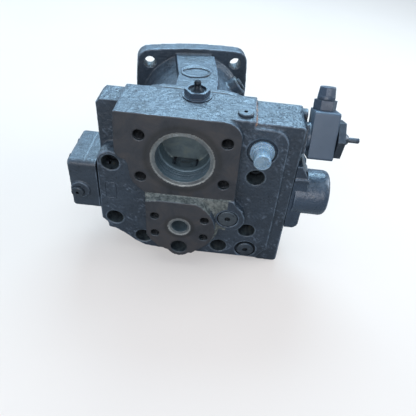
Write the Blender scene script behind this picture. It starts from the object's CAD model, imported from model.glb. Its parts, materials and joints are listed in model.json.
"""Hydraulic pump seen from its port plate, on a pale studio floor.

The frame is +Z up, with the port faces towards -Y and the shaft along +Y, turned a little
towards -X. Port coordinates are mm with x = 0 on the port centreline, y = 0 on the suction
face (y grows into the pump) and z as in the frame. The castings get a remeshed, roughened
skin; the other CAD nodes keep their meshes and get materials and edge bevels.
"""
import json
import math
from itertools import product

import bmesh
import bpy
import numpy as np
from mathutils import Matrix, Vector


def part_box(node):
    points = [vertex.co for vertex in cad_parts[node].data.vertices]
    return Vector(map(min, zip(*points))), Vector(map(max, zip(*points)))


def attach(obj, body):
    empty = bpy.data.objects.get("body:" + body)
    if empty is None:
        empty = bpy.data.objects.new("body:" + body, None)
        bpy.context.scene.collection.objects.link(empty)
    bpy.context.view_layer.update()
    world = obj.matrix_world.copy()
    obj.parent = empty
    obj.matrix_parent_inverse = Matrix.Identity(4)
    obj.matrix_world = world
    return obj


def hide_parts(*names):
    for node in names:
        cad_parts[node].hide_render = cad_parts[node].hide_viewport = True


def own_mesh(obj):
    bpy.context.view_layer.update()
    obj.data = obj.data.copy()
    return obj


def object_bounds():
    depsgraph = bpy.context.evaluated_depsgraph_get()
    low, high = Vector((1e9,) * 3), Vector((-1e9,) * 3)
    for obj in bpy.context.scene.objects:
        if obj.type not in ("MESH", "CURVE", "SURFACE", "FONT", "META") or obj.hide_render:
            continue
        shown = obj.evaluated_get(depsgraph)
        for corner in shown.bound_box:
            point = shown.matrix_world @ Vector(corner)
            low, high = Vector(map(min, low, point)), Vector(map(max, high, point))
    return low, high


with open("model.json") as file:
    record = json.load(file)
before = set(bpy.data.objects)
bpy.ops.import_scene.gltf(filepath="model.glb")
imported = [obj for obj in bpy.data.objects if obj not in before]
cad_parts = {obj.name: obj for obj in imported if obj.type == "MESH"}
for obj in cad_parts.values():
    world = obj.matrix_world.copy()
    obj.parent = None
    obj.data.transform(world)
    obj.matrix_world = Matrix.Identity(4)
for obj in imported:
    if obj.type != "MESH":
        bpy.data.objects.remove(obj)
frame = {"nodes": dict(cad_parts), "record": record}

CAD_LOW, CAD_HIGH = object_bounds()
NODES = frame["nodes"]

# ---------------------------------------------------------------- driving dimensions, mm
SHAFT_TURN = math.radians(11.25)
TURN_SIN, TURN_COS = math.sin(SHAFT_TURN), math.cos(SHAFT_TURN)
SHAFT_AXIS = np.array([-TURN_SIN, TURN_COS, 0.0])
CROSS_AXIS = np.array([TURN_COS, TURN_SIN, 0.0])   # level, square to the shaft
PORT_X, FACE_Y = 111.6 * TURN_SIN, -280.3          # port centreline and suction face
PORT_ORIGIN = np.array([PORT_X, FACE_Y, 0.0])

SUCTION_Z, PRESSURE_Z = 58, -42                    # port centre heights
PRESSURE_FACE_Y = -14
SIDE_PLUG_X, SIDE_PLUG_Z = 63.7, -29.5             # round recess beside the pressure port

# plate screw holes: x, z
SCREWS = [
    (-93.8, 37), (-94.2, -58.2), (-54.9, -90.3), (0, -80.6),
    (55, -94.1), (92.6, -57.8), (93.1, 37),
]
SCREW_HOLE = (11.5, -15, 44.5)                     # radius, front y, back y
# four tapped holes round each port; bore = (front y, back y)
PORT_BOLTS = (
    dict(port_z=SUCTION_Z, off_x=53.2, off_z=30.95, bore=(-1, 28.5),
         thread=dict(radius=7.5, pitch=2.0, depth=1.05, start=2.6, end=26)),
    dict(port_z=PRESSURE_Z, off_x=33.35, off_z=15.9, bore=(-15, 10.5),
         thread=dict(radius=6.0, pitch=1.75, depth=0.95, start=-11.8, end=8)),
)


def bolt_places():
    """(x, z, bolt) of every tapped hole round the ports"""
    for side_x, side_z in product((-1, 1), repeat=2):
        for bolt in PORT_BOLTS:
            yield side_x * bolt["off_x"], bolt["port_z"] + side_z * bolt["off_z"], bolt


# bores the plate's skin must follow: x, z, radius, front y, back y
BOLT_HOLES = [(x, z, *SCREW_HOLE) for x, z in SCREWS]
BOLT_HOLES += [(x, z, bolt["thread"]["radius"], *bolt["bore"]) for x, z, bolt in bolt_places()]
BORES = BOLT_HOLES + [
    (0, SUCTION_Z, 34.5, 0.5, 42.5),
    (0, PRESSURE_Z, 11.0, -13.5, 60),
    (SIDE_PLUG_X, SIDE_PLUG_Z, 14.2, -3, 4.5),
    (95, -95.5, 15.2, 8, 13.5),
    (95.9, 77, 18.5, 8, 11.5),
]


def port_point(x, y, z):
    """port coordinates to frame metres"""
    return Vector(((PORT_X + x) / 1000, (FACE_Y + y) / 1000, z / 1000))


# ---------------------------------------------------------------- number helpers
def between(values, low, high):
    return (values > low) & (values < high)


def near(values, at, reach):
    return np.abs(values - at) < reach


def ease(values, start, end):
    """smooth 0..1 step from start to end"""
    t = np.clip((values - start) / (end - start), 0, 1)
    return t * t * (3 - 2 * t)


def bell(values, at, width):
    return np.exp(-((values - at) / width) ** 2)


def lattice_hash(cell, seed):
    """repeatable -1..1 value for each whole-number cell"""
    x, y, z = cell.T
    h = x * 374761393 + y * 668265263 + z * 2147483647 + seed * 1013904223
    h = (h ^ (h >> 13)) * 1274126177
    h = h ^ (h >> 16)
    return ((h & 0xFFFFFF).astype(np.float64) / 0xFFFFFF) * 2 - 1


def value_noise(points, size, seed):
    """smooth noise, about -1..1; size is the feature size in the units of points"""
    scaled = points / size + 1000.0                # shifted so cells stay positive
    cell = np.floor(scaled)
    f = scaled - cell
    f = f * f * f * (f * (f * 6 - 15) + 10)
    weight = (1 - f, f)
    cell = cell.astype(np.int64)
    total = 0.0
    for i, j, k in product((0, 1), repeat=3):
        corner = weight[i][:, 0] * weight[j][:, 1] * weight[k][:, 2]
        total = total + corner * lattice_hash(cell + (i, j, k), seed)
    return total


# ---------------------------------------------------------------- node materials
def linear(rgb):
    """sRGB 0..255 to linear RGBA"""
    parts = (c / 255 for c in rgb)
    return tuple(c / 12.92 if c <= 0.04045 else ((c + 0.055) / 1.055) ** 2.4
                 for c in parts) + (1.0,)


class Graph:
    """short calls for building a node tree"""

    def __init__(self, tree):
        self.tree = tree
        tree.nodes.clear()

    def node(self, kind, **settings):
        node = self.tree.nodes.new(kind)
        for key, value in settings.items():
            setattr(node, key, value)
        return node

    def link(self, output, socket):
        self.tree.links.new(output, socket)

    def put(self, socket, value):
        """link an output or set a plain value"""
        if isinstance(value, bpy.types.NodeSocket):
            self.link(value, socket)
        else:
            socket.default_value = value


class Mat(Graph):
    """A Principled material.

    A source is an output socket or noise settings (scale, detail, roughness, distortion).
    Colours in tones, mix and tint are sRGB 0..255.
    """

    def __init__(self, name):
        self.material = bpy.data.materials.new(name)
        self.material.use_nodes = True
        super().__init__(self.material.node_tree)
        self.out = self.node("ShaderNodeOutputMaterial")
        self.shader = self.node("ShaderNodeBsdfPrincipled")
        self.link(self.shader.outputs[0], self.out.inputs[0])
        self.coords = self.node("ShaderNodeTexCoord").outputs["Object"]

    def set(self, **values):
        """set Principled inputs; an underscore stands for a space"""
        for key, value in values.items():
            self.put(self.shader.inputs[key.replace("_", " ")], value)

    def current(self, key):
        """the output now feeding a Principled input"""
        return self.shader.inputs[key].links[0].from_socket

    def noise(self, scale, detail=4.0, rough=0.55, distortion=0.0, stretch=None):
        vector = self.coords
        if stretch:
            mapping = self.node("ShaderNodeMapping")
            mapping.inputs["Scale"].default_value = stretch
            self.link(vector, mapping.inputs[0])
            vector = mapping.outputs[0]
        node = self.node("ShaderNodeTexNoise")
        node.inputs["Scale"].default_value = scale
        node.inputs["Detail"].default_value = detail
        node.inputs["Roughness"].default_value = rough
        node.inputs["Distortion"].default_value = distortion
        self.link(vector, node.inputs["Vector"])
        return node.outputs[0]

    def field(self, source):
        return self.noise(*source) if isinstance(source, tuple) else source

    def cells(self, scale):
        """distance to the nearest Voronoi point"""
        node = self.node("ShaderNodeTexVoronoi")
        node.inputs["Scale"].default_value = scale
        self.link(self.coords, node.inputs["Vector"])
        return node.outputs["Distance"]

    def ramp(self, source, stops):
        """stops: (position, linear RGBA)"""
        node = self.node("ShaderNodeValToRGB")
        elements = node.color_ramp.elements
        while len(elements) < len(stops):
            elements.new(0.5)
        for i, (position, colour) in enumerate(stops):
            elements[i].position = position
            elements[i].color = colour
        self.link(self.field(source), node.inputs[0])
        return node.outputs[0]

    def tones(self, source, *stops):
        """ramp with stops of (position, sRGB colour)"""
        return self.ramp(source, [(position, linear(rgb)) for position, rgb in stops])

    def step(self, source, span, out=(0.0, 1.0)):
        """smooth step: the values over span become out"""
        node = self.node("ShaderNodeMapRange", interpolation_type="SMOOTHSTEP")
        self.link(self.field(source), node.inputs[0])
        for i, value in enumerate((*span, *out), start=1):
            node.inputs[i].default_value = value
        return node.outputs[0]

    def mix(self, factor, first, second):
        node = self.node("ShaderNodeMix", data_type="RGBA")
        self.link(factor, node.inputs[0])
        for i, value in ((6, first), (7, second)):
            self.put(node.inputs[i], linear(value) if isinstance(value, tuple) else value)
        return node.outputs[2]

    def tint(self, colour, to, where, amount=None):
        """colour moved towards another where the mask is set"""
        return self.mix(self.times(where, amount) if amount is not None else where, colour, to)

    def mix_value(self, factor, first, second):
        node = self.node("ShaderNodeMix", data_type="FLOAT")
        for i, value in ((0, factor), (2, first), (3, second)):
            self.put(node.inputs[i], value)
        return node.outputs[0]

    def math(self, operation, a, b):
        node = self.node("ShaderNodeMath", operation=operation)
        self.put(node.inputs[0], a)
        self.put(node.inputs[1], b)
        return node.outputs[0]

    def times(self, a, b):
        return self.math("MULTIPLY", a, b)

    def greater(self, a, b):
        return self.math("MAXIMUM", a, b)

    def attribute(self, name):
        return self.node("ShaderNodeAttribute", attribute_name=name).outputs["Fac"]

    def pointiness(self):
        return self.node("ShaderNodeNewGeometry").outputs["Pointiness"]

    def split(self, vector):
        node = self.node("ShaderNodeSeparateXYZ")
        self.link(vector, node.inputs[0])
        return node.outputs

    def normal_z(self):
        return self.split(self.node("ShaderNodeNewGeometry").outputs["Normal"])[2]

    def grime(self, colour, to, distance, strength=0.85):
        """grime gathered in sockets, bores and tight corners"""
        node = self.node("ShaderNodeAmbientOcclusion", samples=6, only_local=False)
        node.inputs["Distance"].default_value = distance
        shut_in = self.step(node.outputs["AO"], span=(0.62, 0.16), out=(0.0, strength))
        return self.mix(shut_in, colour, to)

    def bump(self, source, strength, distance, over=None, bevel=0.0):
        """bump over another bump's normal, or over softened edges of radius bevel"""
        node = self.node("ShaderNodeBump")
        node.inputs["Strength"].default_value = strength
        node.inputs["Distance"].default_value = distance
        self.link(self.field(source), node.inputs["Height"])
        if bevel:
            soft = self.node("ShaderNodeBevel", samples=4)
            soft.inputs["Radius"].default_value = bevel
            over = soft.outputs[0]
        if over is not None:
            self.link(over, node.inputs["Normal"])
        self.link(node.outputs[0], self.shader.inputs["Normal"])
        return node.outputs[0]


def cast_pocks(m):
    """dark pocks in patches on upward faces"""
    pocks = m.noise(270, 2.0, 0.6, stretch=(0.55, 1.0, 1.0))
    patch = m.step((26, 3, 0.6), span=(0.40, 0.62), out=(0.15, 1.0))
    upward = m.step(m.normal_z(), span=(0.2, 0.8))
    return m.times(m.step(pocks, span=(0.54, 0.59)), m.times(patch, upward))


def paint(name, base=(52, 61, 71), rough=0.42, dirt=1.0, dust=1.0, cast=True,
          coat=0.30, coat_rough=0.26):
    """grey-blue machine enamel: tone drift, dark pits, worn pale edges, dust"""
    m = Mat(name)
    dark = tuple(c * 0.78 for c in base)
    pale = (base[0] * 1.18, base[1] * 1.16, base[2] * 1.14)
    colour = m.tones((14, 5, 0.6), (0.30, dark), (0.52, base), (0.72, pale))
    pits = m.step((300, 3, 0.7, 0.8), span=(0.60, 0.68))
    colour = m.tint(colour, to=(18, 21, 25), where=pits, amount=0.80 * dirt)
    if cast:
        colour = m.tint(colour, to=(14, 18, 24), where=cast_pocks(m), amount=0.90)
    spots = m.step(m.cells(150), span=(0.10, 0.04))
    spots = m.times(spots, m.step((35, 2), span=(0.50, 0.62)))
    colour = m.tint(colour, to=(105, 112, 118), where=spots, amount=0.5 * dirt)
    if cast:
        worn = m.step((75, 5, 0.7), span=(0.36, 0.62), out=(0.10, 1.0))
        edge = m.times(m.step(m.attribute("cvx"), span=(0.40, 1.0)), worn)
        colour = m.tint(colour, to=(128, 142, 156), where=edge, amount=0.50)
        crevice = m.step(m.pointiness(), span=(0.45, 0.36))
        colour = m.tint(colour, to=(26, 28, 32), where=crevice, amount=0.35)
    upward = m.step(m.normal_z(), span=(0.35, 0.95))
    dusty = m.times(upward, m.step((60, 5, 0.7), span=(0.30, 0.75)))
    colour = m.tint(colour, to=(120, 138, 152), where=dusty, amount=0.30 * dust)
    m.set(
        Base_Color=m.grime(colour, to=(12, 14, 17), distance=0.016 if cast else 0.007),
        Roughness=m.step((90, 4, 0.6), span=(0.25, 0.75), out=(rough - 0.10, rough + 0.14)),
        Specular_IOR_Level=0.6,
        Coat_Weight=coat,
        Coat_Roughness=coat_rough,
    )
    if cast:
        grain = m.bump((330, 5, 0.65, 0.3), strength=0.70, distance=0.0008)
        m.bump((220, 4, 0.6), strength=0.55, distance=0.0014, over=grain)
    else:
        m.bump((500, 4, 0.6), strength=0.30, distance=0.0003, bevel=0.0006)
    return m


def steel(name, base, rough, metal=1.0, stretch=None, stain=None, bevel=0.0004,
          bump_depth=0.00012):
    """bare metal; stretch scales the grain per axis for a brushed look"""
    m = Mat(name)
    dark = (base[0] * 0.7, base[1] * 0.7, base[2] * 0.72)
    colour = m.tones((45, 5, 0.6), (0.3, dark), (0.65, base))
    if stain:
        stained = m.step((70, 5, 0.7, 0.5), span=(0.52, 0.70))
        colour = m.tint(colour, to=stain, where=stained, amount=0.7)
    m.set(
        Base_Color=colour,
        Metallic=metal,
        Roughness=m.step((160, 4, 0.6), span=(0.25, 0.75), out=(rough - 0.08, rough + 0.12)),
    )
    if stretch:
        grain = m.noise(900, 3, 0.5, stretch=stretch)
        m.bump(grain, strength=0.5, distance=bump_depth, bevel=bevel)
    else:
        m.bump((700, 3, 0.6), strength=0.4, distance=bump_depth, bevel=bevel)
    return m


# ---------------------------------------------------------------- mesh helpers
def link_object(name, mesh):
    obj = bpy.data.objects.new(name, mesh)
    bpy.context.scene.collection.objects.link(obj)
    return obj


def shade_smooth(mesh):
    mesh.polygons.foreach_set("use_smooth", [True] * len(mesh.polygons))


def read_array(items, key, width=3, dtype=float):
    values = np.empty(len(items) * width, dtype=dtype)
    items.foreach_get(key, values)
    return values.reshape(-1, width)


def write_points(mesh, points):
    mesh.vertices.foreach_set("co", points.reshape(-1))
    mesh.update()


def write_attribute(mesh, name, values):
    attribute = mesh.attributes.new(name, "FLOAT", "POINT")
    attribute.data.foreach_set("value", np.ascontiguousarray(values, dtype=np.float32))


def neighbour_mean(values, edges):
    """mean over the vertices joined to each vertex, for one column or several"""
    count = len(values)
    first, second = edges.T
    degree = np.bincount(first, minlength=count) + np.bincount(second, minlength=count)

    def mean(column):
        total = np.bincount(first, column[second], count)
        return (total + np.bincount(second, column[first], count)) / degree

    if values.ndim == 1:
        return mean(values)
    return np.stack([mean(column) for column in values.T], axis=1)


def relax(points, edges, steps, keep, strength=0.48):
    """round the shape off without shrinking it; keep = 1 holds a point"""
    free = 1 - keep[:, None]
    for _ in range(steps):
        for push in (strength, -strength * 1.03):
            points = points + push * ((neighbour_mean(points, edges) - points) * free)
    return points


def remeshed(node, name, voxel):
    """a fresh, evenly meshed copy of a CAD node's closed shape"""
    source = NODES[node]
    temp = link_object(name + "_tmp", source.data.copy())
    temp.matrix_world = source.matrix_world.copy()
    weld = temp.modifiers.new("weld", "WELD")
    weld.merge_threshold = 1e-6
    remesh = temp.modifiers.new("remesh", "REMESH")
    remesh.mode = "VOXEL"
    remesh.voxel_size = voxel
    remesh.adaptivity = 0.0
    depsgraph = bpy.context.evaluated_depsgraph_get()
    depsgraph.update()
    mesh = bpy.data.meshes.new_from_object(temp.evaluated_get(depsgraph))
    mesh.transform(temp.matrix_world)
    mesh.name = name
    bpy.data.objects.remove(temp)
    obj = link_object(name, mesh)
    mesh.materials.clear()
    shade_smooth(mesh)
    return obj


def convexity(points, normals, edges, full):
    """0..1 on rounded outer edges, from how far each point stands off its neighbours"""
    stand_off = -((neighbour_mean(points, edges) - points) * normals).sum(1)
    for _ in range(2):
        stand_off = 0.5 * stand_off + 0.5 * neighbour_mean(stand_off, edges)
    return np.clip(stand_off / full, 0, 1)


def roughen(points, normals, cast, height):
    """as-cast skin: waviness, orange peel, dimples, and pits on upward faces; mm"""
    wave = 0.55 * value_noise(points, 9.0, seed=1)
    wave = wave + 0.45 * value_noise(points, 4.2, seed=2)
    wave = wave + 0.30 * value_noise(points, 2.4, seed=3)
    wave = wave - 1.7 * ease(value_noise(points, 5.2, seed=7), 0.46, 0.80)
    pits = ease(value_noise(points, 2.1, seed=9), 0.50, 0.78)
    wave = wave - 1.3 * pits * ease(normals[:, 2], 0.3, 0.8)
    return points + normals * (wave * height * cast)[:, None]


def voxel_size(full):
    return full


def fit_casting(obj, node, material):
    obj.data.materials.append(material)
    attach(obj, "case")
    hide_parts(node)


# ---------------------------------------------------------------- port plate casting
# All masks below are in port coordinates; a negative y normal faces the front.
def port_distances(x, z):
    return np.hypot(x, z - SUCTION_Z), np.hypot(x, z - PRESSURE_Z)


def machined_plate(points, normals):
    """masks: suction face and pressure face without their seats, all machined skin"""
    x, y, z = points.T
    suction, pressure = port_distances(x, z)
    holes = np.zeros(len(points), bool)
    for at_x, at_z, radius, front, back in BORES:
        inside = np.hypot(x - at_x, z - at_z) < radius + 1.0
        holes |= inside & between(y, front - 0.5, back + 1)
    forward = normals[:, 1] < -0.6
    suction_face = near(y, 0, 1.3) & forward & (x < 71.5) & (z > -0.5)
    pressure_face = near(y, PRESSURE_FACE_Y, 1.3) & forward
    suction_seat = between(suction, 33.5, 40.6) & between(y, -0.6, 2.2) & (normals[:, 1] < -0.5)
    pressure_seat = between(pressure, 10.0, 15.8) & (y < -11.8)
    # the back face and the mounting faces on the two sides
    mounts = (y > 68.6) | ((x < -111.6) & near(z, -3, 41))
    mounts |= (x > 142.4) & near(z, 2, 48) & (y > 12)
    machined = holes | suction_face | pressure_face | suction_seat | pressure_seat | mounts
    return suction_face & ~suction_seat, pressure_face & ~pressure_seat, machined


def true_up(points, suction_face, pressure_face):
    """bring the machined planes and bores back to size, in place"""
    points[suction_face, 1] = 0.0
    points[pressure_face, 1] = PRESSURE_FACE_Y
    for at_x, at_z, radius, front, back in BORES:
        off_x, off_z = points[:, 0] - at_x, points[:, 2] - at_z
        reach = np.hypot(off_x, off_z)
        wall = near(reach, radius, 0.9) & between(points[:, 1], front + 0.6, back - 0.6)
        scale = radius / np.maximum(reach[wall], 1e-6)
        points[wall, 0] = at_x + off_x[wall] * scale
        points[wall, 2] = at_z + off_z[wall] * scale


def speckle_front(points, normals, cast):
    """slanting chisel-like specks and grain on the set-back front; returns points, specks"""
    x, y, z = points.T
    front = (normals[:, 1] < -0.8) & (y > 8)
    slanted = np.stack([(x - z) * 0.34, y, x + z], 1)
    specks = ease(value_noise(slanted, 1.8, seed=21), 0.40, 0.72)
    specks = specks * ease(value_noise(points, 14.0, seed=22), -0.25, 0.40)
    specks = (front & (cast > 0.4)) * specks
    grain = 0.22 * value_noise(points, 2.1, seed=31) + 0.16 * value_noise(points, 3.4, seed=32)
    raised = specks * 0.24 + front * cast * grain
    return points + normals * raised[:, None], specks


def raw_strip(points, normals):
    """rough ledge between the port faces and the unmachined front next to it"""
    x, y, z = points.T
    ledge = (normals[:, 2] > 0.45) & between(y, -13.6, 0.4)
    ledge &= between(x, -50, 66) & between(z, -16, 6)
    forward = normals[:, 1] < -0.5
    off_plug = np.hypot(x - SIDE_PLUG_X, z - SIDE_PLUG_Z) > 17
    front = near(y, -2, 1.2) & forward & (z < 6) & (x < 62) & off_plug
    front |= near(y, 0, 1.2) & forward & between(z, -8, 1.5) & (x < 66)
    return (ledge | front).astype(float)


def plate_paint_masks(points, normals):
    """vertex attributes that steer the plate's material"""
    x, y, z = points.T
    suction, pressure = port_distances(x, z)
    forward = normals[:, 1] < -0.6
    face = near(y, 0, 0.5) & forward & (x < 71) & (z > 0.5)
    face |= near(y, PRESSURE_FACE_Y, 0.5) & forward
    seat = between(suction, 34.0, 40.3) & (y < 1.6)
    seat |= between(pressure, 10.6, 15.5) & (y < -12.2)
    bore = ((suction < 35.2) & (y > 0.8)) | ((pressure < 12) & (y > -13.2))
    holes = np.zeros(len(points), bool)
    for at_x, at_z, radius, front, back in BOLT_HOLES:
        inside = np.hypot(x - at_x, z - at_z) < radius + 0.35
        holes |= inside & between(y, front + 1.2, back + 1)
    # a wavering rust line across the top
    off_line = np.abs(x - 84.3 - 0.5 * value_noise(points, 5.0, seed=41))
    rust = ease(-off_line, -1.5, -0.5) * (z > 110.5) * (normals[:, 2] > -0.2) * (y < 60)
    disc = (suction < 33) & between(y, 40.5, 45)     # floor of the suction bore
    # dark rings round the seats
    halo = np.where(y < 1.0, bell(suction, 46.0, 4.2) + 0.5 * bell(suction, 41.2, 1.3), 0.0)
    halo = halo + np.where(y < -12.5, bell(pressure, 18.5, 2.6), 0.0)
    return dict(disc=disc, halo=halo, face=face, seat=seat, bore=bore, hole=holes), rust


def port_plate():
    obj = remeshed("port_plate", "port_plate_casting", voxel_size(full=0.00115))
    mesh = obj.data
    points = read_array(mesh.vertices, "co") * 1000.0 - PORT_ORIGIN
    edges = read_array(mesh.edges, "vertices", 2, np.int64)
    normals = read_array(mesh.vertices, "normal")
    suction_face, pressure_face, machined = machined_plate(points, normals)
    keep = machined.astype(float)
    points = relax(points, edges, steps=9, keep=keep * 0.92)
    true_up(points, suction_face, pressure_face)
    write_points(mesh, points)

    normals = read_array(mesh.vertices, "normal")
    write_attribute(mesh, "cvx", convexity(points, normals, edges, full=0.10))
    x = points[:, 0]
    cast = (1 - keep) * np.where((x > 141.5) | (x < -111), 0.5, 1.0)   # calmer sides
    top = ease(normals[:, 2], 0.4, 0.8)
    block = ease(x, 84.0, 87.0)                      # the +X end is rougher on top
    points = roughen(points, normals, cast, 0.18 + top * (0.27 + 0.16 * block))
    points, specks = speckle_front(points, normals, cast)
    strip = raw_strip(points, normals)
    crust = 0.35 * value_noise(points, 3.0, seed=11) + 0.25 * value_noise(points, 1.7, seed=12)
    points = points + normals * (strip * crust)[:, None]
    # keep the skin inside the outside box of the part
    low, high = (np.array(corner) * 1000 - PORT_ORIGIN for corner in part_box("port_plate"))
    points = np.clip(points, low, high)

    masks, rust = plate_paint_masks(points, normals)
    for name, values in {**masks, "strip": strip, "rust": rust, "flake": specks}.items():
        write_attribute(mesh, name, values)
    write_points(mesh, (points + PORT_ORIGIN) / 1000.0)
    return obj


def plate_face_colour(m):
    """milled port faces: dark brown-grey with oil stain and fine scratches"""
    colour = m.tones((26, 6, 0.65, 0.8), (0.28, (52, 53, 56)), (0.48, (66, 66, 69)),
                     (0.64, (77, 73, 72)), (0.80, (66, 70, 77)))
    broken = m.step((40, 4, 0.6), span=(0.20, 0.55), out=(0.45, 1.0))
    halo = m.times(m.attribute("halo"), broken)
    colour = m.tint(colour, to=(46, 45, 42), where=halo, amount=0.62)
    scratches = m.step((260, 6, 0.75, 1.5), span=(0.60, 0.72))
    return m.tint(colour, to=(112, 108, 104), where=scratches, amount=0.35)


def plate_material():
    m = paint("port_plate_paint")
    colour = m.current("Base Color")
    rough = m.current("Roughness")
    face, seat, bore, hole, strip, rust = (
        m.attribute(key) for key in ("face", "seat", "bore", "hole", "strip", "rust"))
    seat_colour = m.mix(m.step((60, 4), span=(0.35, 0.65)), (128, 128, 124), (158, 158, 152))
    bore_colour = m.tones((40, 5, 0.6), (0.3, (84, 98, 104)), (0.6, (112, 128, 134)),
                          (0.8, (136, 152, 160)))
    disc_colour = m.tones((55, 6, 0.7, 0.6), (0.28, (76, 88, 92)), (0.5, (96, 108, 110)),
                          (0.64, (108, 116, 110)), (0.80, (114, 108, 88)))
    bore_colour = m.mix(m.attribute("disc"), bore_colour, disc_colour)
    hole_colour = m.tones((120, 4, 0.6), (0.35, (34, 40, 46)), (0.60, (72, 80, 82)),
                          (0.78, (98, 90, 74)))
    hole_colour = m.grime(hole_colour, to=(9, 11, 13), distance=0.018, strength=0.95)
    strip_colour = m.tones((120, 6, 0.75), (0.30, (40, 43, 42)), (0.45, (86, 90, 86)),
                           (0.58, (126, 128, 122)), (0.74, (84, 74, 62)))
    rust_colour = m.tones((160, 5, 0.7), (0.32, (96, 84, 78)), (0.46, (186, 120, 74)),
                          (0.60, (222, 206, 190)), (0.75, (150, 96, 60)))

    colour = m.tint(colour, to=(112, 124, 138), where=m.attribute("flake"), amount=0.55)
    colour = m.mix(face, colour, plate_face_colour(m))
    on_strip = m.times(strip, m.step((50, 5, 0.7), span=(0.25, 0.40)))
    colour = m.mix(on_strip, colour, strip_colour)
    colour = m.mix(bore, colour, bore_colour)
    colour = m.mix(hole, colour, hole_colour)
    colour = m.mix(seat, colour, seat_colour)
    on_rust = m.times(rust, m.step((200, 4, 0.7), span=(0.42, 0.58)))
    colour = m.mix(on_rust, colour, rust_colour)

    turned = m.greater(seat, bore)
    face_rough = m.step((180, 5, 0.7), span=(0.25, 0.75), out=(0.34, 0.56))
    rough = m.mix_value(face, rough, face_rough)
    rough = m.mix_value(turned, rough, 0.42)
    rough = m.mix_value(strip, rough, 0.85)
    bare = m.greater(m.greater(face, strip), turned)
    m.set(
        Base_Color=colour,
        Metallic=m.greater(m.times(face, 0.20), m.times(turned, 0.25)),
        Roughness=rough,
        Coat_Weight=m.times(m.math("SUBTRACT", 1.0, bare), 0.18),
    )
    # calm the cast bump on machined surfaces
    smooth = m.greater(m.greater(face, seat), bore)
    bumpy = m.math("SUBTRACT", 1.0, m.times(smooth, 0.88))
    for node in [n for n in m.tree.nodes if n.bl_idname == "ShaderNodeBump"]:
        strength = node.inputs["Strength"]
        m.link(m.times(bumpy, strength.default_value), strength)
    return m.material


CASTING_PAINT = paint("casting_paint")
fit_casting(port_plate(), "port_plate", plate_material())


# ---------------------------------------------------------------- the other castings
def plain_casting(node, voxel, height, steps, machined, material, detail=None):
    """rounded, roughened skin; machined and detail are functions of points in frame mm"""
    obj = remeshed(node, node + "_casting", voxel)
    mesh = obj.data
    low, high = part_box(node)
    points = read_array(mesh.vertices, "co") * 1000.0
    edges = read_array(mesh.edges, "vertices", 2, np.int64)
    keep = machined(points).astype(float)
    points = relax(points, edges, steps, keep=keep * 0.95)
    write_points(mesh, points)
    normals = read_array(mesh.vertices, "normal")
    edge_full = 0.085 * voxel / 0.00115              # finer voxels stand off less
    write_attribute(mesh, "cvx", convexity(points, normals, edges, edge_full))
    points = roughen(points, normals, 1 - keep, height)
    points = np.clip(points, np.array(low) * 1000, np.array(high) * 1000)
    if detail:
        detail(points, normals)
    write_attribute(mesh, "mach", keep)
    write_points(mesh, points / 1000.0)
    fit_casting(obj, node, material.material)


def housing_machined(points):
    along, across, z = points @ SHAFT_AXIS, points @ CROSS_AXIS, points[:, 2]
    mask = (along > -1.0) | ((np.hypot(across, z) < 57.6) & (along > -94))
    mask |= points[:, 1] < FACE_Y + 72.0
    bolt_offset, bolt_reach = 70.71, 10.2
    for side_x, side_z in product((-1, 1), repeat=2):
        off = np.hypot(across - side_x * bolt_offset, z - side_z * bolt_offset)
        mask |= off < bolt_reach
    return mask


def cover_machined(points):
    return points[:, 0] > PORT_X - 114.6


def cover_groove(points, normals):
    """a fine groove along the top of the end cover"""
    x, y = points[:, 0] - PORT_X, points[:, 1] - FACE_Y
    across = bell(x + 0.012 * (y - 30), -128.0, 0.75)
    along = ease(y, 10, 14) * ease(-y, -80, -76)
    points[:, 2] -= (normals[:, 2] > 0.7) * 0.55 * across * along


def cap_machined(points):
    x, y, z = points.T
    off_centre = np.hypot(y - FACE_Y - 38, z - 2) > 32
    return (x < PORT_X + 145.4) | ((x > PORT_X + 161.0) & off_centre)


def housing_material():
    """paint with bare machined skin and a pale, partly orange glaze on the +X flank"""
    m = paint("housing_paint")
    colour = m.current("Base Color")
    machined = m.attribute("mach")
    bare = m.tones((50, 5, 0.6), (0.3, (70, 72, 74)), (0.7, (112, 113, 112)))
    x, y, z = m.split(m.coords)
    in_x = m.step(x, span=((PORT_X + 36) / 1000, (PORT_X + 46) / 1000))
    in_z = m.times(m.step(z, span=(0.014, 0.034)), m.step(z, span=(0.080, 0.072)))
    in_y = m.times(m.step(y, span=((FACE_Y + 88) / 1000, (FACE_Y + 100) / 1000)),
                   m.step(y, span=((FACE_Y + 215) / 1000, (FACE_Y + 170) / 1000)))
    region = m.times(m.times(in_x, in_z), in_y)
    glaze = m.times(region, m.step((30, 4, 0.6, 0.8), span=(0.38, 0.56)))
    colour = m.tint(colour, to=(150, 176, 198), where=glaze, amount=0.62)
    orange = m.times(region, m.step((60, 5, 0.65, 1.4), span=(0.58, 0.66)))
    colour = m.tint(colour, to=(150, 96, 58), where=orange, amount=0.75)
    m.set(Base_Color=m.tint(colour, to=bare, where=machined, amount=0.85),
          Metallic=m.times(machined, 0.7))
    return m


SMALL_VOXEL = voxel_size(full=0.0009)
plain_casting("housing", voxel_size(full=0.0014), height=0.22, steps=4,
              machined=housing_machined, material=housing_material())
plain_casting("stroking_end_cover", SMALL_VOXEL, height=0.13, steps=8,
              machined=cover_machined, material=CASTING_PAINT, detail=cover_groove)
plain_casting("stroking_cylinder_cap", SMALL_VOXEL, height=0.08, steps=6,
              machined=cap_machined,
              material=paint("cap_paint", (54, 66, 80), rough=0.30, dirt=0.6,
                             coat=0.45, coat_rough=0.22))


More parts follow.
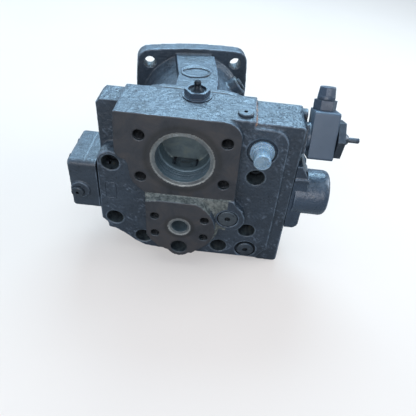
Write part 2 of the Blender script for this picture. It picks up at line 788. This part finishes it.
# ---------------------------------------------------------------- materials of the CAD nodes
def plug(name, base, metal, rough, worn):
    """thin paint over a screwed plug, with bright wear and a dirty socket"""
    m = paint(name, base, rough, dust=0.6, cast=False)
    colour = m.current("Base Color")
    wear = m.times(m.step((170, 5, 0.7), span=(0.52, 0.68)), worn)
    colour = m.tint(colour, to=(100, 106, 110), where=wear)
    m.set(Base_Color=m.grime(colour, to=(7, 8, 10), distance=0.006, strength=0.95),
          Metallic=m.greater(m.times(wear, 0.9), metal))
    return m


def fastener():
    m = Mat("fastener_black_oxide")
    colour = m.tones((130, 5, 0.65), (0.30, (26, 29, 33)), (0.55, (46, 52, 58)),
                     (0.75, (66, 72, 78)))
    rust = m.step((75, 5, 0.7, 0.4), span=(0.60, 0.74))
    colour = m.tint(colour, to=(84, 66, 50), where=rust, amount=0.55)
    edge = m.times(m.step(m.pointiness(), span=(0.53, 0.62)),
                   m.step((300, 3), span=(0.35, 0.6), out=(0.0, 0.7)))
    m.set(
        Base_Color=m.tint(colour, to=(128, 136, 142), where=edge),
        Metallic=0.65,
        Roughness=m.step((240, 4, 0.6), span=(0.25, 0.75), out=(0.30, 0.52)),
    )
    m.bump((520, 4, 0.65), strength=0.45, distance=0.00025, bevel=0.0005)
    return m


def plastic():
    m = Mat("transport_plug_polyethylene")
    m.set(
        Base_Color=m.tones((95, 4, 0.6), (0.3, (138, 166, 188)), (0.6, (172, 196, 214)),
                           (0.8, (192, 212, 226))),
        Roughness=m.step((260, 3), span=(0.3, 0.7), out=(0.24, 0.42)),
        Subsurface_Weight=0.55,
        Subsurface_Radius=(0.9, 1.1, 1.4),
        Subsurface_Scale=0.006,
        Transmission_Weight=0.30,
        IOR=1.50,
        Coat_Weight=0.25,
        Coat_Roughness=0.2,
    )
    m.bump((120, 2, 0.4), strength=0.10, distance=0.0003, bevel=0.0010)
    return m


def coil():
    m = Mat("coil_shell_satin")
    colour = m.tones((24, 5, 0.6), (0.30, (66, 80, 94)), (0.52, (72, 86, 101)),
                     (0.74, (78, 92, 107)))
    dirt = m.step((60, 6, 0.72, 0.4), span=(0.60, 0.80))
    colour = m.tint(colour, to=(44, 52, 64), where=dirt, amount=0.16)
    edge = m.times(m.step(m.pointiness(), span=(0.54, 0.66)),
                   m.step((260, 4), span=(0.45, 0.62), out=(0.0, 0.8)))
    m.set(
        Base_Color=m.tint(colour, to=(134, 150, 168), where=edge),
        Roughness=m.step((140, 4, 0.6), span=(0.25, 0.75), out=(0.34, 0.50)),
        Specular_IOR_Level=0.5,
        Coat_Weight=0.15,
        Coat_Roughness=0.35,
    )
    peel = m.bump((900, 2, 0.5), strength=0.35, distance=0.00012, bevel=0.0016)
    m.bump((60, 4, 0.6), strength=0.25, distance=0.0006, over=peel)
    return m


def gasket():
    m = Mat("gasket_fibre")
    fibre = m.noise(400, 5, 0.7)
    m.set(Base_Color=m.tones(fibre, (0.3, (44, 44, 40)), (0.7, (78, 76, 66))),
          Roughness=m.step((300, 3), span=(0.3, 0.7), out=(0.7, 0.9)))
    m.bump(fibre, strength=0.5, distance=0.0002)
    return m


def rubber():
    m = Mat("seal_nitrile")
    grain = m.noise(260, 4, 0.6)
    m.set(Base_Color=m.tones(grain, (0.3, (18, 18, 19)), (0.7, (34, 34, 36))),
          Roughness=m.step((120, 4), span=(0.3, 0.7), out=(0.5, 0.72)),
          Sheen_Weight=0.15)
    m.bump(grain, strength=0.3, distance=0.00015, bevel=0.0003)
    return m


def bronze():
    m = Mat("drum_bronze")
    colour = m.tones((36, 5, 0.6), (0.3, (140, 112, 62)), (0.55, (172, 140, 84)),
                     (0.75, (190, 160, 104)))
    stain = m.step((80, 5, 0.7, 0.5), span=(0.56, 0.72))
    m.set(
        Base_Color=m.tint(colour, to=(96, 74, 44), where=stain, amount=0.5),
        Metallic=1.0,
        Roughness=m.step((200, 4), span=(0.25, 0.75), out=(0.24, 0.42)),
    )
    m.bump((800, 3, 0.6), strength=0.35, distance=0.0001, bevel=0.0005)
    return m


SLOT_MATERIALS = {
    "dark_fastener": fastener(),
    "drum_alloy": bronze(),
    "hardened_steel": steel("ground_hardened_steel", (150, 150, 152), rough=0.30,
                            stain=(112, 106, 98), bump_depth=0.00003),
    "bearing_steel": steel("polished_bearing_steel", (168, 168, 172), rough=0.18,
                           stain=(110, 104, 96)),
    "spring_steel": steel("drawn_spring_wire", (92, 94, 98), rough=0.34,
                          stretch=(1, 1, 9), stain=(66, 60, 54)),
    "connector_metal": plug("connector_overpainted", (62, 74, 90),
                            metal=0.12, rough=0.36, worn=0.35),
    "painted_plug": plug("plug_overpainted", (54, 61, 68), metal=0.15, rough=0.40, worn=0.55),
    "gasket_paper": gasket(),
    "seal_rubber": rubber(),
    "coil_shell": coil(),
    "zinc_steel": plug("solenoid_nut_overpainted", (46, 54, 64),
                       metal=0.20, rough=0.38, worn=0.45),
    "clear_plastic": plastic(),
    "painted_casting": CASTING_PAINT,
}
# nodes that look different from the rest of their slot
NODE_MATERIALS = {
    "side_locking_plug": plug("side_plug_zinc_worn", (72, 79, 84),
                              metal=0.30, rough=0.36, worn=0.75),
    "lower_locking_plug": plug("lower_plug_zinc_worn", (64, 72, 80),
                               metal=0.30, rough=0.38, worn=0.60),
    "override_stud": plug("override_stud_worn", (70, 76, 84),
                          metal=0.45, rough=0.34, worn=0.6),
    "adjuster_nut": plug("adjuster_overpainted", (44, 56, 70),
                         metal=0.10, rough=0.30, worn=0.30),
    "top_gauge_plug": CASTING_PAINT,
}
# edge bevel widths, m
EDGE_WIDTHS = {
    "adjuster_nut": 0.0005, "adjuster_screw": 0.0004, "cylinder_cap_screws": 0.0005,
    "end_cover_screws": 0.0005, "override_stud": 0.0003, "port_plate_screws": 0.0006,
    "connector_cap": 0.0007, "connector_gland": 0.0004, "drain_plugs": 0.0005,
    "end_cover_plug": 0.0005, "lower_locking_plug": 0.0006, "side_locking_plug": 0.0006,
    "top_gauge_plug": 0.0005, "solenoid_coil": 0.0018, "solenoid_end_nut": 0.0006,
    "solenoid_tube": 0.0005, "transport_plug": 0.0007,
}


def soften_edges(obj, width):
    weld = obj.modifiers.new("weld", "WELD")
    weld.merge_threshold = 2e-6
    bevel = obj.modifiers.new("edge", "BEVEL")
    bevel.width = width
    bevel.segments = 2
    bevel.limit_method = "ANGLE"
    bevel.angle_limit = math.radians(38)
    bevel.harden_normals = True
    bevel.use_clamp_overlap = True


slots = {part["node"]: part["material_slot"] for part in frame["record"]["subparts"]}
for name, obj in NODES.items():
    if obj.hide_render:
        continue
    look = NODE_MATERIALS.get(name) or SLOT_MATERIALS[slots[name]]
    obj.data.materials.clear()
    obj.data.materials.append(look.material)
    for polygon in obj.data.polygons:
        polygon.material_index = 0
    if name in EDGE_WIDTHS:
        soften_edges(obj, EDGE_WIDTHS[name])


# ---------------------------------------------------------------- small fitted details
def swept(name, rings, closed=False, smooth=True):
    """skin over rings of equal point count, capped at the ends unless closed"""
    count, width = len(rings), len(rings[0])
    faces = []
    for i in range(count if closed else count - 1):
        here, there = i * width, (i + 1) % count * width
        for j in range(width):
            k = (j + 1) % width
            faces.append((here + j, here + k, there + k, there + j))
    if not closed:
        faces.append(tuple(range(width - 1, -1, -1)))
        faces.append(tuple(range((count - 1) * width, count * width)))
    mesh = bpy.data.meshes.new(name)
    mesh.from_pydata([tuple(point) for ring in rings for point in ring], [], faces)
    mesh.update()
    obj = link_object(name, mesh)
    if smooth:
        shade_smooth(mesh)
    return obj


def tube(name, path, radius, sides=8, closed=False):
    """a round bead swept along points (metres)"""
    last = len(path) - 1
    rings, side = [], None
    for i, point in enumerate(path):
        if closed:
            along = path[(i + 1) % len(path)] - path[i - 1]
        else:
            along = path[min(i + 1, last)] - path[max(i - 1, 0)]
        along.normalize()
        side = along.orthogonal() if side is None else side - along * side.dot(along)
        side.normalize()
        up = along.cross(side)
        angles = [2 * math.pi * j / sides for j in range(sides)]
        rings.append([point + (side * math.cos(a) + up * math.sin(a)) * radius for a in angles])
    return swept(name, rings, closed)


def join(name, parts):
    """one mesh from several objects"""
    bm = bmesh.new()
    for part in parts:
        mesh = part.data
        bm.from_mesh(mesh)
        bpy.data.objects.remove(part)
        bpy.data.meshes.remove(mesh)
    mesh = bpy.data.meshes.new(name)
    bm.to_mesh(mesh)
    bm.free()
    shade_smooth(mesh)
    return link_object(name, mesh)


def fit(obj, look):
    obj.data.materials.append(look.material)
    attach(obj, "case")


def thread_ribbon(at_x, at_z, radius, pitch, depth, start, end):
    """a V thread standing inside a tapped hole, from y = start to end (mm)"""
    segments = 36                                    # per turn
    count = int((end - start) / pitch * segments)
    root, buried = radius + 0.3, radius + 1.0
    low, high = start - 0.45 * pitch, end + 0.45 * pitch
    rings = []
    for i in range(count + 1):
        angle = 2 * math.pi * (i / segments)
        y = start + pitch * (i / segments)
        # the crest runs in and out over half a turn
        fade = min(1.0, i / (segments * 0.5), (count - i) / (segments * 0.5))
        section = ((root, -0.48 * pitch), (radius - depth * fade, 0.0),
                   (root, 0.48 * pitch), (buried, 0.0))
        rings.append([
            port_point(at_x + r * math.cos(angle), min(max(y + off_y, low), high),
                       at_z + r * math.sin(angle))
            for r, off_y in section])
    return swept("thread", rings, smooth=False)


def seat_ring(name, at_z, inner, outer, y, grooves):
    """turned seal seat: fine concentric grooves over a flat ring at y (mm)"""
    steps, segments = grooves * 4, 128
    profile = [(inner + (outer - inner) * i / steps, y - (0.10 if i % 4 in (1, 2) else 0.0))
               for i in range(steps + 1)]
    profile += [(outer, y + 0.5), (inner, y + 0.5)]
    rings = []
    for i in range(segments):
        a = 2 * math.pi * i / segments
        rings.append([port_point(r * math.cos(a), ring_y, at_z + r * math.sin(a))
                      for r, ring_y in profile])
    return swept(name, rings, closed=True)


def bore_ridge(y, radius=34.45, segments=96):
    """a fine ridge round the suction bore"""
    angles = [2 * math.pi * i / segments for i in range(segments)]
    path = [port_point(radius * math.cos(a), y, SUCTION_Z + radius * math.sin(a))
            for a in angles]
    return tube("ridge", path, radius=0.00032, sides=6, closed=True)


def pressure_spring():
    """the pressure-control spring as its own coil, so that it can shorten with the spool"""
    low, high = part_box("pressure_spring")
    wire, inset = 0.0009, 0.00005                    # wire radius and gap to the box, m
    turns, per_turn = 6, 28
    x, y = (low[0] + high[0]) / 2, (low[1] + high[1]) / 2
    radius = (high[0] - low[0]) / 2 - wire - inset
    bottom, top = low[2] + wire + inset, high[2] - wire - inset
    path = []
    for i in range(turns * per_turn + 1):
        t = i / (turns * per_turn)
        rise = min(max(t - 0.035 * math.sin(2 * math.pi * t), 0.0), 1.0)   # closer end turns
        a = 2 * math.pi * turns * t
        path.append(Vector((x + radius * math.cos(a), y + radius * math.sin(a),
                            bottom + (top - bottom) * rise)))
    spring = tube("pressure_spring_coil", path, wire, sides=10)
    fit(spring, SLOT_MATERIALS["spring_steel"])
    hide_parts("pressure_spring")
    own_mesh(spring)


thread_steel = steel("tapped_thread_oiled", (66, 68, 70), rough=0.38, metal=0.7,
                     stain=(58, 48, 38), bevel=0.0002)
threads = [thread_ribbon(x, z, **bolt["thread"]) for x, z, bolt in bolt_places()]
fit(join("port_bolt_threads", threads), thread_steel)

seat_steel = steel("turned_seal_seat", (134, 138, 136), rough=0.42, metal=0.35,
                   stretch=(1, 1, 1), stain=(96, 92, 82), bevel=0.0)
fit(seat_ring("suction_seal_seat", SUCTION_Z, inner=34.75, outer=39.85, y=0.95, grooves=10),
    seat_steel)
fit(seat_ring("pressure_seal_seat", PRESSURE_Z, inner=11.15, outer=15.1, y=-13.05, grooves=6),
    seat_steel)
ridge_steel = steel("turned_bore_ridges", (118, 132, 140), rough=0.34, metal=0.4, bevel=0.0)
RIDGE_YS = (7.5, 10.0, 12.2, 15.4, 17.4, 20.6)
fit(join("suction_bore_ridges", [bore_ridge(y) for y in RIDGE_YS]), ridge_steel)
pressure_spring()


def on_casting(name, start, direction):
    """where a ray meets a casting, or None"""
    obj = bpy.data.objects[name]
    found, place, _, _ = obj.ray_cast(obj.matrix_world.inverted() @ start, Vector(direction))
    return (obj.matrix_world @ place) if found else None


def oval_bead():
    """plain oval bead on top of the housing"""
    count = 56
    path = []
    for i in range(count):
        a = 2 * math.pi * i / count
        over = port_point(-5.4 + 21.0 * math.cos(a),
                          191 + 16.0 * math.sin(a) + 2.0 * math.cos(a), 125)
        hit = on_casting("housing_casting", over, (0, 0, -1))
        if hit is not None:
            path.append(hit + Vector((0, 0, 0.0002)))
    # only if every ray lands and the ground under it is fairly level
    if len(path) == count and max(p.z for p in path) - min(p.z for p in path) < 0.012:
        fit(tube("housing_oval_bead", path, radius=0.0015, closed=True), CASTING_PAINT)


def square_bead():
    """plain rounded square bead on the front of the plate"""
    corner_radius, steps = 3.0, 5
    # corner centres and start angles: x, z, degrees
    corners = ((-92.5, 1.5, 0), (-100.5, 1.5, 90), (-100.5, -19.0, 180), (-92.5, -19.0, 270))
    path = []
    for x, z, start in corners:
        for i in range(steps):
            a = math.radians(start + i * 22.5)
            before = port_point(x + corner_radius * math.cos(a), -30,
                                z + corner_radius * math.sin(a))
            hit = on_casting("port_plate_casting", before, (0, 1, 0))
            if hit is not None:
                path.append(hit)
    # only if every ray lands
    if len(path) == len(corners) * steps:
        fit(tube("plate_square_bead", path, radius=0.0008, closed=True), CASTING_PAINT)


bpy.context.view_layer.update()
oval_bead()
square_bead()


# ---------------------------------------------------------------- floor, light, camera
def floor_material():
    """pale to the camera, but throws little light back up on the castings"""
    m = Mat("studio_floor")
    stops = [(0.3, (0.42, 0.34, 0.29, 1.0)), (0.7, (0.44, 0.355, 0.30, 1.0))]
    m.set(
        Base_Color=m.ramp((3, 3), stops),
        Roughness=0.9,
        Emission_Color=(0.60, 0.605, 0.615, 1.0),
        Emission_Strength=0.62,
        Specular_IOR_Level=0.1,
    )
    light_path = m.node("ShaderNodeLightPath")
    dim = m.node("ShaderNodeBsdfDiffuse")
    dim.inputs[0].default_value = (0.20, 0.19, 0.18, 1)
    mix = m.node("ShaderNodeMixShader")
    m.link(light_path.outputs["Is Camera Ray"], mix.inputs[0])
    m.link(dim.outputs[0], mix.inputs[1])
    m.link(m.shader.outputs[0], mix.inputs[2])
    m.link(mix.outputs[0], m.out.inputs[0])
    return m.material


def build_floor():
    mesh = bpy.data.meshes.new("floor")
    bm = bmesh.new()
    bmesh.ops.create_grid(bm, x_segments=2, y_segments=2, size=6.0)
    bm.to_mesh(mesh)
    bm.free()
    floor = link_object("floor", mesh)
    floor.location = ((CAD_LOW[0] + CAD_HIGH[0]) / 2, (CAD_LOW[1] + CAD_HIGH[1]) / 2,
                      CAD_LOW[2] - 0.0006)           # just clear of the lowest part
    mesh.materials.append(floor_material())


def build_world():
    """a blue sky gradient lights the scene; the camera sees an even pale backdrop"""
    world = bpy.data.worlds.new("studio")
    bpy.context.scene.world = world
    world.use_nodes = True
    g = Graph(world.node_tree)
    out = g.node("ShaderNodeOutputWorld")
    coords = g.node("ShaderNodeTexCoord")
    split = g.node("ShaderNodeSeparateXYZ")
    g.link(coords.outputs["Generated"], split.inputs[0])
    height = g.node("ShaderNodeMapRange")
    g.link(split.outputs[2], height.inputs[0])
    height.inputs[1].default_value = -1.0
    height.inputs[2].default_value = 1.0
    ramp = g.node("ShaderNodeValToRGB")
    g.link(height.outputs[0], ramp.inputs[0])
    elements = ramp.color_ramp.elements
    elements[0].color = (0.10, 0.10, 0.11, 1)
    elements[1].color = (0.42, 0.66, 1.0, 1)
    for position, colour in ((0.44, (0.34, 0.35, 0.37, 1)), (0.56, (0.56, 0.62, 0.70, 1)),
                             (0.72, (0.52, 0.74, 1.0, 1))):
        elements.new(position).color = colour
    sky = g.node("ShaderNodeBackground")
    g.link(ramp.outputs[0], sky.inputs[0])
    sky.inputs[1].default_value = 0.62
    backdrop = g.node("ShaderNodeBackground")
    backdrop.inputs[0].default_value = (0.90, 0.92, 0.94, 1)
    backdrop.inputs[1].default_value = 1.0
    light_path = g.node("ShaderNodeLightPath")
    mix = g.node("ShaderNodeMixShader")
    g.link(light_path.outputs["Is Camera Ray"], mix.inputs[0])
    g.link(sky.outputs[0], mix.inputs[1])
    g.link(backdrop.outputs[0], mix.inputs[2])
    g.link(mix.outputs[0], out.inputs[0])


def area_light(name, at, size, power, colour):
    """a rectangular light aimed at the pump"""
    light = bpy.data.lights.new(name, "AREA")
    light.shape = "RECTANGLE"
    light.size, light.size_y = size
    light.energy = power
    light.color = colour
    obj = link_object(name, light)
    obj.location = at
    obj.rotation_mode = "QUATERNION"
    aim = port_point(0, 60, 0) - Vector(at)
    obj.rotation_quaternion = aim.to_track_quat("-Z", "Y")


def turn(axis, degrees):
    """rotation matrix about axis 0, 1 or 2"""
    a = math.radians(degrees)
    i, j = (axis + 1) % 3, (axis + 2) % 3
    matrix = np.eye(3)
    matrix[i, i] = matrix[j, j] = math.cos(a)
    matrix[i, j], matrix[j, i] = -math.sin(a), math.sin(a)
    return matrix


def build_camera():
    data = bpy.data.cameras.new("camera")
    camera = link_object("camera", data)
    level = np.array([[1.0, 0, 0], [0, 0, -1], [0, 1, 0]])   # level view along +Y
    # rows: the view's right, down and forward directions
    right, down, forward = turn(2, 6.125) @ turn(1, 0.270) @ turn(0, 41.086) @ level
    axes = Matrix([list(right), list(-down), list(-forward)]).transposed()
    camera.matrix_world = Matrix.Translation((0.07281, -0.71156, 0.37416)) @ axes.to_4x4()
    data.sensor_width = 36.0
    data.lens = 37.6018269
    data.shift_x = -0.0234471154
    data.shift_y = -0.0148028846
    data.clip_start, data.clip_end = 0.02, 40
    bpy.context.scene.camera = camera


build_floor()
build_world()
area_light("sky_panel", at=(0.05, 0.85, 1.20), size=(1.1, 0.7), power=31,
           colour=(0.49, 0.77, 1.0))
area_light("overhead", at=(0.0, -0.25, 1.7), size=(1.3, 1.1), power=13,
           colour=(0.80, 0.92, 1.0))
area_light("front_fill", at=(-0.15, -1.75, 0.62), size=(1.5, 0.9), power=14,
           colour=(0.98, 0.97, 1.0))
area_light("left_sky", at=(-1.15, 0.70, 0.70), size=(0.9, 0.9), power=8,
           colour=(0.60, 0.82, 1.0))
area_light("right_rim", at=(1.3, 0.1, 0.60), size=(0.7, 0.7), power=12,
           colour=(0.80, 0.90, 1.0))
build_camera()
bpy.context.scene.view_settings.view_transform = "Standard"
